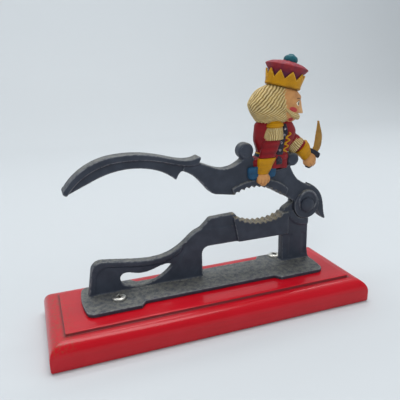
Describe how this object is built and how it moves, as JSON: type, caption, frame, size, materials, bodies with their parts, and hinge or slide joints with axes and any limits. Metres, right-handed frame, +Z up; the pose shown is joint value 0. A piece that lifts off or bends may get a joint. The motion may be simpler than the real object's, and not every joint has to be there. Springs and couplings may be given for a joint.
{
  "type": "lever nutcracker press",
  "caption": "Bench nutcracker press: red board, black iron frame with toothed lower jaw, hinged curved lever with upper jaw and a painted toy king riding on it",
  "frame": {"origin": "centre of the board's underside", "axes": "+X along the board towards the hinge, +Z up, -Y the side that faces the user"},
  "size_m": [0.254, 0.089, 0.1997],
  "materials": {
    "red_board": "gloss red paint over wood",
    "black_iron": "satin charcoal paint, worn at the edges",
    "plated_steel": "plated, slightly dulled",
    "coat_red": "satin hand paint",
    "cap_red": "satin hand paint",
    "gold_paint": "satin ochre hand paint",
    "cream_paint": "matt cream hand paint with dark wash",
    "skin_paint": "satin hand paint",
    "trouser_blue": "satin hand paint",
    "teal_paint": "satin hand paint",
    "navy_paint": "satin hand paint",
    "bronze_paint": "satin hand paint, worn"
  },
  "bodies": {
    "base": {"base_board": "red_board", "lower_casting": "black_iron", "pivot_rivet": "black_iron", "wood_screws": "plated_steel"},
    "lever": {"lever_casting": "black_iron", "king_coat": "coat_red", "king_trousers": "trouser_blue", "king_right_sleeve": "coat_red", "king_right_cuff": "gold_paint", "king_right_hand": "skin_paint", "king_left_sleeve": "coat_red", "king_left_cuff": "gold_paint", "king_left_hand": "skin_paint", "king_epaulette_fringes": "cream_paint", "king_epaulettes": "gold_paint", "king_head": "skin_paint", "king_hair": "cream_paint", "king_moustache": "cream_paint", "king_crown": "gold_paint", "king_cap": "cap_red", "king_pompon": "teal_paint", "king_belt": "navy_paint", "king_placket": "navy_paint", "king_buttons": "navy_paint", "king_frogging": "gold_paint", "sword_hilt": "navy_paint", "sword_blade": "bronze_paint"}
  },
  "joints": [
    {"name": "lever_pivot", "type": "hinge", "parent": "base", "child": "lever", "pos_m": [0.09665, 0.0115, 0.0742], "axis": [0, 1, 0], "range_deg": [0, 36]}
  ]
}
